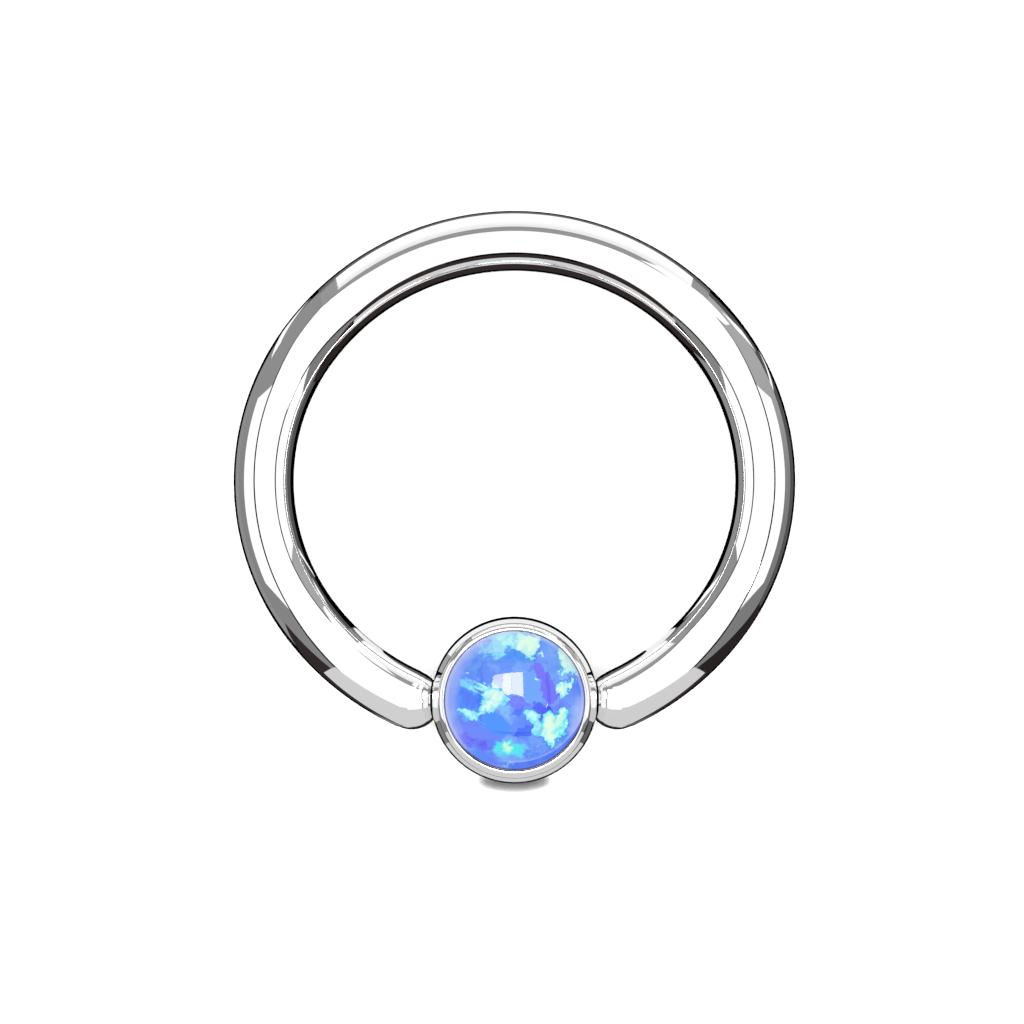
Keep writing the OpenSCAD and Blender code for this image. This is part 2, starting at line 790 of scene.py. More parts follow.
class GeometryTree(Graph):
    """A geometry tree with named inputs, which is applied to an object and then removed."""

    def __init__(self, name: str, inputs: dict[str, Any]) -> None:
        """Makes the tree.

        Args:
            name: the tree's name.
            inputs: the value of each named input: a number, a whole number or a material.
        """
        super().__init__(bpy.data.node_groups.new(name, "GeometryNodeTree"))
        self.values = dict(inputs)
        kinds = {float: "NodeSocketFloat", int: "NodeSocketInt"}
        face = self.tree.interface
        face.new_socket("Geometry", in_out="INPUT", socket_type="NodeSocketGeometry")
        face.new_socket("Geometry", in_out="OUTPUT", socket_type="NodeSocketGeometry")
        self.keys = {}
        for label, value in self.values.items():
            kind = kinds.get(type(value), "NodeSocketMaterial")
            socket = face.new_socket(label, in_out="INPUT", socket_type=kind)
            self.keys[label] = socket.identifier
        self.entry = self.tree.nodes.new("NodeGroupInput")

    def given(self, label: str) -> Signal:
        """Returns a named input of the tree."""
        return Signal(self, self._socket(self.entry.outputs, label))

    def close(self, geometry: Signal) -> None:
        """Ends the tree in Realize Instances and Set Material.

        Args:
            geometry: the shape.
        """
        real = self.add("GeometryNodeRealizeInstances", None, {"Geometry": geometry})
        dressed = self.add(
            "GeometryNodeSetMaterial", None, {"Geometry": real, "Material": self.given("Material")}
        )
        self.node("NodeGroupOutput", None, {"Geometry": dressed})

    def apply(self, name: str, base: bpy.types.Mesh) -> bpy.types.Mesh:
        """Runs the tree.

        Args:
            name: the name of the new mesh.
            base: the mesh that the tree starts from, which may be empty.

        Returns:
            The result as a plain mesh.
        """
        carrier = bpy.data.objects.new(name + "_work", base)
        bpy.context.scene.collection.objects.link(carrier)
        modifier = carrier.modifiers.new("tree", "NODES")
        modifier.node_group = self.tree
        for label, value in self.values.items():
            modifier[self.keys[label]] = value
        graph = bpy.context.evaluated_depsgraph_get()
        mesh = bpy.data.meshes.new_from_object(carrier.evaluated_get(graph))
        mesh.name = name
        bpy.data.objects.remove(carrier)
        return mesh


@dataclass(frozen=True)
class Swivel:
    """How the wire's two tips carry the bead: the sizes that both of them follow."""

    wire_r: float = 0.815
    tip_polish: float = 0.015
    tip_nest: float = 0.26
    clearance: float = 0.04
    bead_r: float = 2.25
    bead_depth: float = 2.5

    @property
    def tip_r(self) -> float:
        """The radius of a polished tip."""
        return self.wire_r - self.tip_polish

    @property
    def tip_x(self) -> float:
        """How far a tip's centre is from the middle of the bead."""
        return self.bead_r + self.tip_r - self.tip_nest

    @property
    def dimple_r(self) -> float:
        """The radius of a dimple."""
        return self.tip_r + self.clearance

    @property
    def axle_height(self) -> float:
        """How high the dimples are, on a bead that stands on its back."""
        return self.bead_depth / 2


@dataclass
class RingWire:
    """The sprung wire: an oval of four arcs, open at the bead, with ball rounded tips."""

    swivel: Swivel
    inner_width: float = 12.0
    oval_drop: float = 0.56
    polish_run: float = 0.015
    weld: float = 0.00002
    rows: int = 700
    sides: int = 128

    def __post_init__(self) -> None:
        """Works out the arcs from the sizes."""
        wire_r = self.swivel.wire_r
        radius_step = 1.25 * self.oval_drop
        self.side_shift = MEET_COS * radius_step
        self.end_shift = MEET_SIN * radius_step
        self.side_radius = self.inner_width / 2 + wire_r - self.side_shift
        self.end_radius = self.side_radius + radius_step
        self.tip_angle = math.asin(self.swivel.tip_x / self.end_radius)
        self.tip_drop = self.end_radius * math.cos(self.tip_angle) - self.end_shift
        far_reach = self.tip_drop + self.end_radius - self.end_shift
        self.lean = math.asin((self.swivel.axle_height - wire_r) / far_reach)

    def build(self) -> bpy.types.Object:
        """Makes the wire and dresses it.

        Returns:
            The piece.
        """
        finish = PolishedSteel("polished_wire", along=(0.12, 1.0, 1.0), from_uv=True)
        tree = GeometryTree(
            "wire_along_an_oval",
            {
                "Wire Radius": self.swivel.wire_r,
                "Side Radius": self.side_radius,
                "End Radius": self.end_radius,
                "Side Shift": self.side_shift,
                "End Shift": self.end_shift,
                "Tip Angle": self.tip_angle,
                "Tip Radius": self.swivel.tip_r,
                "Rows": self.rows,
                "Sides": self.sides,
                "Material": finish.material(),
            },
        )
        self._sweep(tree)
        mesh = tree.apply("ring_wire_polished", bpy.data.meshes.new("empty"))
        mesh.shade_smooth()
        return place_piece(mesh, "ring_wire_polished", "ring_wire", Body.RING)

    def _sweep(self, tree: GeometryTree) -> None:
        """Bends a grid into the wire and lays it in its place.

        The grid's first direction runs from one tip's pole, along the oval and to the other
        pole, and its second one round the wire.

        Args:
            tree: the tree that it is built in.
        """
        counts = {"Vertices X": tree.given("Rows"), "Vertices Y": tree.given("Sides")}
        wire = tree.add("GeometryNodeMeshGrid", None, {"Size X": 1.0, "Size Y": 1.0, **counts})
        place, run = self._bend(tree)
        on_corners = {"data_type": "FLOAT2", "domain": "CORNER"}
        lie = {
            "Translation": (0, AXLE_Y * MM, self.swivel.axle_height * MM),
            "Rotation": (-self.lean, 0, 0),
            "Scale": (MM, MM, MM),
        }
        stages = (
            ("StoreNamedAttribute", on_corners, {"Name": "UVMap", "Value": run}),
            ("SetPosition", None, {"Position": place}),
            ("MergeByDistance", None, {"Distance": self.weld}),
            ("Transform", None, {"Translation": (0, self.tip_drop, 0)}),
            ("Transform", None, lie),
        )
        for kind, settings, inputs in stages:
            wire = tree.add("GeometryNode" + kind, settings, {"Geometry": wire, **inputs})
        tree.close(wire)

    def _bend(self, tree: GeometryTree) -> tuple[Signal, Signal]:
        """Finds where each point of the grid goes.

        Args:
            tree: the tree that it is built in.

        Returns:
            Its place on the wire, seen flat from the oval's middle, and how far it is along and
            round the wire.
        """
        step, turn, _ = tree.split(tree.add("GeometryNodeInputPosition"))
        tip_angle, tip_r = tree.given("Tip Angle"), tree.given("Tip Radius")
        wire_r, end_radius = tree.given("Wire Radius"), tree.given("End Radius")
        path = 2 * math.pi - 2 * tip_angle
        reach = (step + 0.5) * (path + math.pi) - math.pi / 2
        along = reach.most(0.0).least(path)
        beyond = reach - along
        angle = along + tip_angle - math.pi / 2
        cos, sin = angle.cos(), angle.sin()
        on_side = cos.size() > MEET_COS
        on_end = 1 - on_side
        radius = on_side * tree.given("Side Radius") + on_end * end_radius
        middle_x = on_side * cos.sign() * tree.given("Side Shift")
        middle_y = on_end * sin.sign() * tree.given("End Shift") * -1
        rounding = ((path - along).least(along) / self.polish_run).least(1.0)
        thick = tip_r + (wire_r - tip_r) * rounding
        round_it = (turn + 0.5) * (2 * math.pi)
        out = radius + thick * beyond.cos() * round_it.cos()
        past_tip = tip_r * beyond.sin()
        place = tree.vector(
            middle_x + out * cos - past_tip * sin,
            middle_y + out * sin + past_tip * cos,
            thick * beyond.cos() * round_it.sin(),
        )
        return place, tree.vector(angle * end_radius, round_it * wire_r, 0.0)


@dataclass
class BeadSetting:
    """The captive bead: a turned cylinder with a tapered band, a lip and two dimples."""

    swivel: Swivel
    back_round: float = 0.15
    taper_inset: float = 0.15
    taper_height: float = 0.38
    edge_polish: float = 0.9
    lip_round: float = 0.22
    mouth_polish: float = 0.04
    crest: float = 72.0
    stone_r: float = 2.0
    dome_height: float = 1.16
    girdle_height: float = 0.25
    lip_reach: float = 0.1
    stone_clearance: float = 0.03

    def __post_init__(self) -> None:
        """Works out the section from the sizes."""
        self.bead_r = self.swivel.bead_r
        self.bead_depth = self.swivel.bead_depth
        self.lip_out_r = self.bead_r - self.taper_inset
        self.taper_top = self.bead_depth - self.lip_round
        self.taper_foot = self.taper_top - self.taper_height
        self.dome_shift = (self.stone_r - self.dome_height) / (2 - math.sqrt(2))
        self.shoulder_r = self.stone_r - self.dome_shift
        cup_r = self.shoulder_r + self.stone_clearance
        side = self.shoulder_r - self.lip_reach
        self.girdle_top = self.bead_depth - math.sqrt(cup_r**2 - side**2)

    def section(self) -> Profile:
        """Draws the bead's section.

        Returns:
            Its outline, from the middle of the back round to the floor of the cup.
        """
        grow = self.stone_clearance
        cup_r = self.shoulder_r + grow
        floor = self.girdle_top - self.girdle_height - grow
        lip_middle = self.lip_out_r - self.lip_round
        inset = self.lip_round - self.mouth_polish
        crest = math.radians(self.crest)
        mouth_x = lip_middle + inset * math.cos(crest)
        mouth_z = self.taper_top + inset * math.sin(crest)
        turned_in = math.acos((self.stone_r - self.lip_reach - mouth_x) / self.mouth_polish)
        mouth_end = mouth_z + self.mouth_polish * math.sin(turned_in)
        mouth = math.degrees(math.asin((mouth_end - self.girdle_top) / cup_r))
        lean = math.atan(self.taper_inset / self.taper_height)
        edge_z = self.taper_foot - self.edge_polish * math.tan(lean / 2)
        edge = (self.bead_r - self.edge_polish, edge_z)
        # points part way along the back and the side keep their faces compact
        points: Profile = [(0, 0), (0.5 * self.bead_r, 0)]
        points += arc((self.bead_r - self.back_round, self.back_round), self.back_round, -90, 0, 12)
        points += [(self.bead_r, share * self.taper_foot) for share in (0.3, 0.7)]
        points += arc(edge, self.edge_polish, 0, math.degrees(lean), 10)
        points += arc((lip_middle, self.taper_top), self.lip_round, 0, self.crest, 18)
        points += arc(
            (mouth_x, mouth_z), self.mouth_polish, self.crest, math.degrees(turned_in), 10
        )[1:]
        points += arc((self.dome_shift, self.girdle_top), cup_r, mouth, 0, 6)[1:]
        points += [(self.stone_r + grow, floor), (0, floor)]
        return points

    def build(self) -> bpy.types.Object:
        """Makes the bead and dresses it.

        Returns:
            The piece.
        """
        finish = PolishedSteel("polished_bead", along=(1.0, 1.0, 0.15))
        lathe = Lathe(AXLE_Y)
        turned = lathe.turn("bead_turned", self.section())
        tree = GeometryTree(
            "dimples_for_the_tips",
            {
                "Dimple Radius": self.swivel.dimple_r * MM,
                "Dimple Distance": self.swivel.tip_x * MM,
                "Dimple Height": self.swivel.axle_height * MM,
                "Material": finish.material(),
            },
        )
        self._press_dimples(tree)
        mesh = tree.apply("bead_setting_polished", turned)
        lathe.shade(mesh)
        return place_piece(mesh, "bead_setting_polished", "bead_setting", Body.BEAD)

    def _press_dimples(self, tree: GeometryTree) -> None:
        """Cuts a ball out of the bead's side at each end of its axle.

        Args:
            tree: the tree that it is built in.
        """
        apart, height = tree.given("Dimple Distance"), tree.given("Dimple Height")
        ends = {
            "Count": 2,
            "Start Location": tree.vector(apart * -1, AXLE_Y * MM, height),
            "Offset": tree.vector(apart, AXLE_Y * MM, height),
        }
        line = tree.add("GeometryNodeMeshLine", {"mode": "END_POINTS"}, ends)
        round_ball = {"Segments": 96, "Rings": 48, "Radius": tree.given("Dimple Radius")}
        ball = tree.add("GeometryNodeMeshUVSphere", None, round_ball)
        balls = tree.add("GeometryNodeInstanceOnPoints", None, {"Points": line, "Instance": ball})
        solid_balls = tree.add("GeometryNodeRealizeInstances", None, {"Geometry": balls})
        cut = tree.add(
            "GeometryNodeMeshBoolean",
            {"operation": "DIFFERENCE", "solver": "EXACT"},
            {"Mesh 1": tree.given("Geometry"), "Mesh 2": solid_balls},
        )
        tree.close(cut)


@dataclass
class Opal:
    """The cabochon: a straight edge in the cup and a dome of a shoulder and a flatter crown."""

    setting: BeadSetting

    def section(self) -> Profile:
        """Draws half of the stone's section.

        Returns:
            Its outline, from the middle of its back to its top.
        """
        cup = self.setting
        crown_r = cup.dome_height + cup.dome_shift
        base = cup.girdle_top - cup.girdle_height
        points: Profile = [(0, base), (cup.stone_r, base)]
        points += arc((cup.dome_shift, cup.girdle_top), cup.shoulder_r, 0, 45, 20)
        points += arc((0, cup.girdle_top - cup.dome_shift), crown_r, 45, 90, 48)[1:-1]
        points += [(0, cup.girdle_top + cup.dome_height)]
        return points

    def build(self) -> bpy.types.Object:
        """Makes the stone and dresses it.

        Returns:
            The piece.
        """
        cup = self.setting
        flashes = self.top_flashes() + self.side_flashes() + self.lower_flashes()
        mesh = Lathe(AXLE_Y, crease=math.radians(40)).turn("opal_cut", self.section())
        finish = BlueOpal(
            "blue_opal",
            centre=(0, AXLE_Y, cup.girdle_top),
            rim=cup.stone_r - cup.lip_reach,
            flakes=self.quiet_flakes() + flashes,
        )
        mesh.materials.append(finish.material())
        return place_piece(mesh, "opal_polished", "opal", Body.BEAD)

    @staticmethod
    def quiet_flakes() -> tuple[Flake, ...]:
        """Lists the violet and blue flakes of this stone.

        Returns:
            The flakes, in the order in which they lie on each other.
        """
        return (
            Flake((
                ((0.24, 0.75), (0.5, 0.78), (0.68, 0.45), (0.74, 0.05), (0.45, -0.02), (0.24, 0.1)),
            ), Tint.SKY, Tint.SKY, softness=0.05),
            Flake((
                ((-0.4, 1.0), (0.4, 1.0), (0.35, 1.25), (-0.05, 1.5), (-0.25, 1.45)),
            ), Tint.SKY, Tint.AZURE, 0.2, 0.1),
            Flake((
                ((-1.75, -0.55), (-1.1, -0.52), (-0.75, -0.8), (-0.9, -1.05), (-1.6, -0.85)),
                ((-0.95, -0.75), (-0.4, -0.9), (-0.3, -1.05), (-0.8, -1.1)),
            ), Tint.LILAC, Tint.LILAC, softness=0.06),
            Flake((
                ((-1.02, -0.5), (-0.78, -0.32), (-0.5, -0.26), (-0.3, -0.5), (-0.35, -0.9),
                 (-0.9, -0.68)),
                ((-0.5, -0.4), (-0.32, -0.5), (-0.05, -0.55), (-0.08, -0.75), (-0.32, -0.9),
                 (-0.6, -0.85)),
            ), Tint.AZURE, Tint.AZURE, softness=0.04),
            Flake((
                ((-1.52, 0.42), (-1.42, 0.42), (-0.98, 0.2), (-0.86, 0.03), (-0.96, -0.2),
                 (-1.5, -0.17)),
            ), Tint.AZURE, Tint.NAVY, softness=0.03),
            Flake((
                ((0.45, 1.0), (0.67, 1.02), (0.85, 0.86), (1.0, 0.65), (0.75, 0.35), (0.6, 0.62)),
                ((0.66, 0.6), (0.98, 0.68), (1.12, 0.46), (1.2, 0.15), (1.0, -0.1), (0.72, 0.02)),
            ), Tint.VIOLET, Tint.VIOLET, softness=0.04),
            Flake((
                ((0.74, 0.1), (1.18, 0.22), (1.3, 0.12), (1.5, 0.28), (1.6, -0.1), (1.2, -0.3),
                 (0.9, -0.22)),
            ), Tint.LILAC, Tint.DUSK, 0.3, 0.06),
            Flake((
                ((0.46, -0.08), (0.7, 0.0), (0.95, -0.1), (1.05, -0.25), (0.82, -0.42),
                 (0.6, -0.3)),
                ((0.62, -0.25), (0.9, -0.25), (0.8, -0.5), (0.7, -0.5)),
            ), Tint.NAVY, Tint.DUSK, 0.08, 0.03),
            Flake((
                ((-0.26, 0.04), (-0.14, 0.15), (0.0, 0.19), (0.2, 0.12), (0.42, -0.03),
                 (0.3, -0.13), (-0.1, -0.12)),
            ), Tint.VIOLET, Tint.LILAC, softness=0.02),
            Flake((
                ((0.0, -0.12), (0.3, -0.13), (0.28, -0.38), (0.18, -0.46), (0.02, -0.43),
                 (-0.12, -0.33)),
            ), Tint.NAVY, Tint.NAVY, softness=0.06),
            Flake((
                ((-0.08, -0.86), (0.1, -0.74), (0.28, -0.6), (0.5, -0.6), (0.55, -0.78),
                 (0.45, -0.92), (0.1, -0.98)),
            ), Tint.NIGHT, Tint.NAVY, 0.1, 0.04),
            Flake((
                ((-1.58, -0.84), (-1.4, -0.82), (-1.02, -1.0), (-1.0, -1.2), (-1.2, -1.4)),
                ((-1.05, -1.0), (-0.88, -0.98), (-0.62, -1.05), (-0.66, -1.32), (-0.84, -1.4),
                 (-1.05, -1.2)),
            ), Tint.VIOLET, Tint.DUSK, 0.2, 0.06),
            Flake((
                ((0.35, -1.12), (0.62, -1.0), (0.9, -1.2), (0.8, -1.45), (0.35, -1.5)),
            ), Tint.SKY, Tint.LILAC, 0.2, 0.08),
            Flake((
                ((-0.95, -1.45), (-0.5, -1.5), (-0.3, -1.62), (-0.4, -1.8), (-0.8, -1.65)),
            ), Tint.VIOLET, Tint.AZURE, 0.2, 0.08),
            Flake((
                ((-0.46, -0.16), (-0.33, -0.08), (-0.1, -0.08), (-0.08, -0.2), (-0.18, -0.34),
                 (-0.42, -0.34)),
                ((-0.36, -0.3), (-0.16, -0.3), (-0.05, -0.52), (-0.2, -0.54), (-0.38, -0.44)),
            ), Tint.SKY, Tint.PALE, 0.06, 0.03),
            Flake((
                ((1.14, 0.85), (1.34, 0.86), (1.48, 0.6), (1.3, 0.5), (1.18, 0.52)),
            ), Tint.SKY, Tint.PALE, 0.1, 0.05, Grain.LEVEL),
        )

    @staticmethod
    def top_flashes() -> tuple[Flake, ...]:
        """Lists the bright flashes at the top of this stone.

        Returns:
            The flashes, in the order in which they lie on each other.
        """
        return (
            Flake((
                ((-1.0, 1.5), (-0.9, 1.3), (-0.75, 1.2), (-0.4, 1.1), (-0.28, 1.2), (-0.3, 1.6),
                 (-0.7, 1.65)),
            ), Tint.HAZE, Tint.PEARL, 0.2, 0.08, Grain.LEVEL),
            Flake((
                ((-1.02, 1.5), (-0.92, 1.18), (-0.7, 1.05), (-0.5, 1.15), (-0.5, 1.5),
                 (-0.75, 1.65)),
            ), Tint.HAZE, Tint.CYAN, 0.1, 0.05, Grain.SPECKLED),
            Flake((
                ((-0.75, 1.8), (-0.3, 1.95), (-0.2, 1.42), (-0.3, 1.2), (-0.45, 1.14),
                 (-0.6, 1.22)),
            ), Tint.CYAN, Tint.PEARL, 0.16, 0.05, Grain.LEVEL),
            Flake((
                ((-0.4, 1.95), (0.2, 1.95), (0.2, 1.24), (0.05, 1.29), (-0.08, 1.41), (-0.2, 1.45)),
                ((-0.55, 1.9), (-0.1, 1.95), (-0.12, 1.5), (-0.3, 1.46), (-0.52, 1.5)),
            ), Tint.CYAN, Tint.ICE, 0.14, 0.03, Grain.LEVEL),
            Flake((
                ((0.0, 1.9), (0.0, 1.55), (0.06, 1.35), (0.22, 1.26), (0.44, 1.13), (0.5, 1.15),
                 (0.75, 1.8)),
                ((0.3, 1.5), (0.4, 1.15), (0.5, 1.12), (0.58, 1.27), (0.62, 1.46), (0.68, 1.65)),
            ), Tint.CYAN, Tint.MINT, 0.1, 0.02, shade=0.3),
        )

    @staticmethod
    def side_flashes() -> tuple[Flake, ...]:
        """Lists the bright flashes at the right and left of this stone.

        Returns:
            The flashes, in the order in which they lie on each other.
        """
        return (
            Flake((
                ((1.12, 1.45), (1.19, 1.16), (1.25, 0.97), (1.33, 0.82), (1.5, 0.74), (1.8, 0.8),
                 (1.4, 1.5)),
            ), Tint.CYAN, Tint.MINT, 0.1, 0.03),
            Flake((
                ((1.36, 0.9), (1.48, 0.64), (1.6, 0.56), (1.72, 0.5), (1.9, 0.6), (1.7, 0.95)),
                ((1.2, 0.85), (1.4, 0.95), (1.44, 0.75), (1.3, 0.6), (1.18, 0.62)),
            ), Tint.CYAN, Tint.ICE, 0.08, 0.03, Grain.SPECKLED),
            Flake((
                ((1.08, 0.58), (1.2, 0.52), (1.28, 0.3), (1.3, 0.1), (1.21, 0.18), (1.15, 0.36)),
                ((1.17, 0.5), (1.32, 0.5), (1.4, 0.3), (1.4, 0.17), (1.3, 0.1), (1.2, 0.22)),
                ((1.28, 0.5), (1.43, 0.58), (1.56, 0.52), (1.58, 0.38), (1.44, 0.2), (1.3, 0.18)),
            ), Tint.CYAN, Tint.MINT, 0.09, 0.015, shade=0.5),
            Flake((
                ((-1.5, 0.62), (-1.46, 0.44), (-0.95, 0.18), (-0.75, 0.3), (-0.9, 0.56),
                 (-1.2, 0.6)),
            ), Tint.HAZE, Tint.CYAN, 0.25, 0.08, Grain.SLANTED),
            Flake((
                ((-1.18, 0.36), (-0.95, 0.2), (-0.7, 0.1), (-0.4, 0.25), (-0.55, 0.44),
                 (-0.8, 0.52), (-1.0, 0.56)),
            ), Tint.CYAN, Tint.ICE, 0.2, 0.05, Grain.SLANTED),
            Flake((
                ((-0.92, 0.12), (-0.92, 0.32), (-0.55, 0.42), (-0.3, 0.34), (-0.17, 0.18),
                 (-0.18, 0.0), (-0.5, -0.12)),
                ((-0.86, 0.1), (-0.2, 0.06), (-0.27, -0.1), (-0.42, -0.24), (-0.7, -0.2),
                 (-0.88, -0.04)),
                ((-0.84, 0.0), (-0.48, -0.1), (-0.56, -0.3), (-0.9, -0.32), (-1.0, -0.16)),
            ), Tint.CYAN, Tint.MINT, 0.16, 0.025),
            Flake((
                ((-1.5, -0.28), (-1.2, -0.38), (-1.05, -0.56), (-1.4, -0.58)),
            ), Tint.HAZE, Tint.HAZE, 0.1, 0.1, strength=0.7),
            Flake((
                ((-1.64, -0.2), (-1.52, -0.14), (-1.37, -0.16), (-1.12, -0.24), (-1.05, -0.42),
                 (-1.25, -0.44), (-1.44, -0.34)),
                ((-1.18, -0.27), (-1.06, -0.3), (-0.97, -0.47), (-1.05, -0.57), (-1.2, -0.52),
                 (-1.32, -0.4)),
                ((-1.14, -0.28), (-0.86, -0.21), (-0.7, -0.25), (-0.86, -0.36), (-1.0, -0.48)),
            ), Tint.CYAN, Tint.ICE, 0.1, 0.02),
        )

    @staticmethod
    def lower_flashes() -> tuple[Flake, ...]:
        """Lists the bright flashes at the lower right and the bottom of this stone.

        Returns:
            The flashes, in the order in which they lie on each other.
        """
        return (
            Flake((
                ((0.28, -0.24), (0.38, -0.18), (0.52, -0.22), (0.64, -0.3), (0.68, -0.45),
                 (0.55, -0.54), (0.29, -0.52)),
                ((0.48, -0.5), (0.66, -0.43), (0.78, -0.5), (0.85, -0.8), (0.67, -0.96),
                 (0.53, -0.88), (0.5, -0.7)),
            ), Tint.CYAN, Tint.ICE, 0.14, 0.015, shade=0.4),
            Flake((
                ((0.72, -0.54), (0.81, -0.36), (0.92, -0.26), (1.02, -0.3), (1.12, -0.42),
                 (1.2, -0.8), (0.78, -1.0)),
                ((0.64, -0.93), (0.72, -0.6), (1.1, -0.8), (1.15, -1.0), (0.98, -1.15),
                 (0.8, -1.04)),
                ((1.05, -0.42), (1.16, -0.25), (1.26, -0.12), (1.34, -0.2), (1.43, -0.42),
                 (1.4, -0.68), (1.05, -0.9)),
                ((1.36, -0.25), (1.49, -0.22), (1.44, -0.45), (1.38, -0.75), (1.25, -0.72)),
                ((1.0, -0.8), (1.38, -0.6), (1.33, -0.86), (1.2, -1.0), (1.0, -1.1)),
                ((0.8, -0.95), (1.18, -0.95), (1.08, -1.13), (0.98, -1.29), (0.92, -1.22)),
            ), Tint.AQUA, Tint.MINT, 0.11, 0.015, shade=0.5),
            Flake((
                ((-0.78, -1.36), (-0.55, -1.1), (-0.3, -0.98), (0.08, -1.02), (0.42, -1.2),
                 (0.3, -1.52), (-0.5, -1.56)),
            ), Tint.HAZE, Tint.AQUA, 0.25, 0.16, Grain.RAYED),
            Flake((
                ((-0.6, -1.26), (-0.42, -1.07), (-0.15, -1.03), (0.08, -1.18), (0.06, -1.4),
                 (-0.2, -1.46), (-0.48, -1.4)),
            ), Tint.CYAN, Tint.AQUA, 0.1, 0.14, Grain.RAYED),
            Flake((
                ((-0.44, -1.23), (-0.34, -1.06), (-0.12, -1.06), (0.0, -1.22), (-0.08, -1.39),
                 (-0.24, -1.44), (-0.4, -1.38)),
            ), Tint.AQUA, Tint.LIME, 0.16, 0.14, Grain.RAYED),
            Flake((
                ((-0.38, -1.79), (-0.25, -1.72), (0.02, -1.63), (0.0, -1.69), (-0.25, -1.8)),
            ), Tint.CYAN, Tint.ICE, 0.03, 0.02, strength=0.8),
            Flake((
                ((0.5, 0.58), (0.55, 0.62), (0.6, 0.58), (0.55, 0.54)),
                ((0.69, 1.24), (0.73, 1.34), (0.78, 1.3), (0.74, 1.22)),
                ((-1.31, 0.77), (-1.27, 0.82), (-1.22, 0.77), (-1.27, 0.74)),
                ((0.62, -1.17), (0.67, -1.13), (0.71, -1.17), (0.67, -1.21)),
            ), Tint.CYAN, Tint.ICE, 0.02, 0.02, strength=0.9),
        )


@dataclass(frozen=True)
class Card:
    """A flat card of the light tent, which only polished surfaces see.

    Its corners are places in millimetres. Where it fades, its colour goes to another one between
    two places along an axis. A card that dims the floor is seen by the floor's light alone.
    """

    name: str
    corners: tuple[Point, ...]
    colour: Colour
    fades_to: Colour | None = None
    fade_axis: int = 2
    fade_span: tuple[float, float] = (0.0, 1.0)
    dims_floor: bool = False


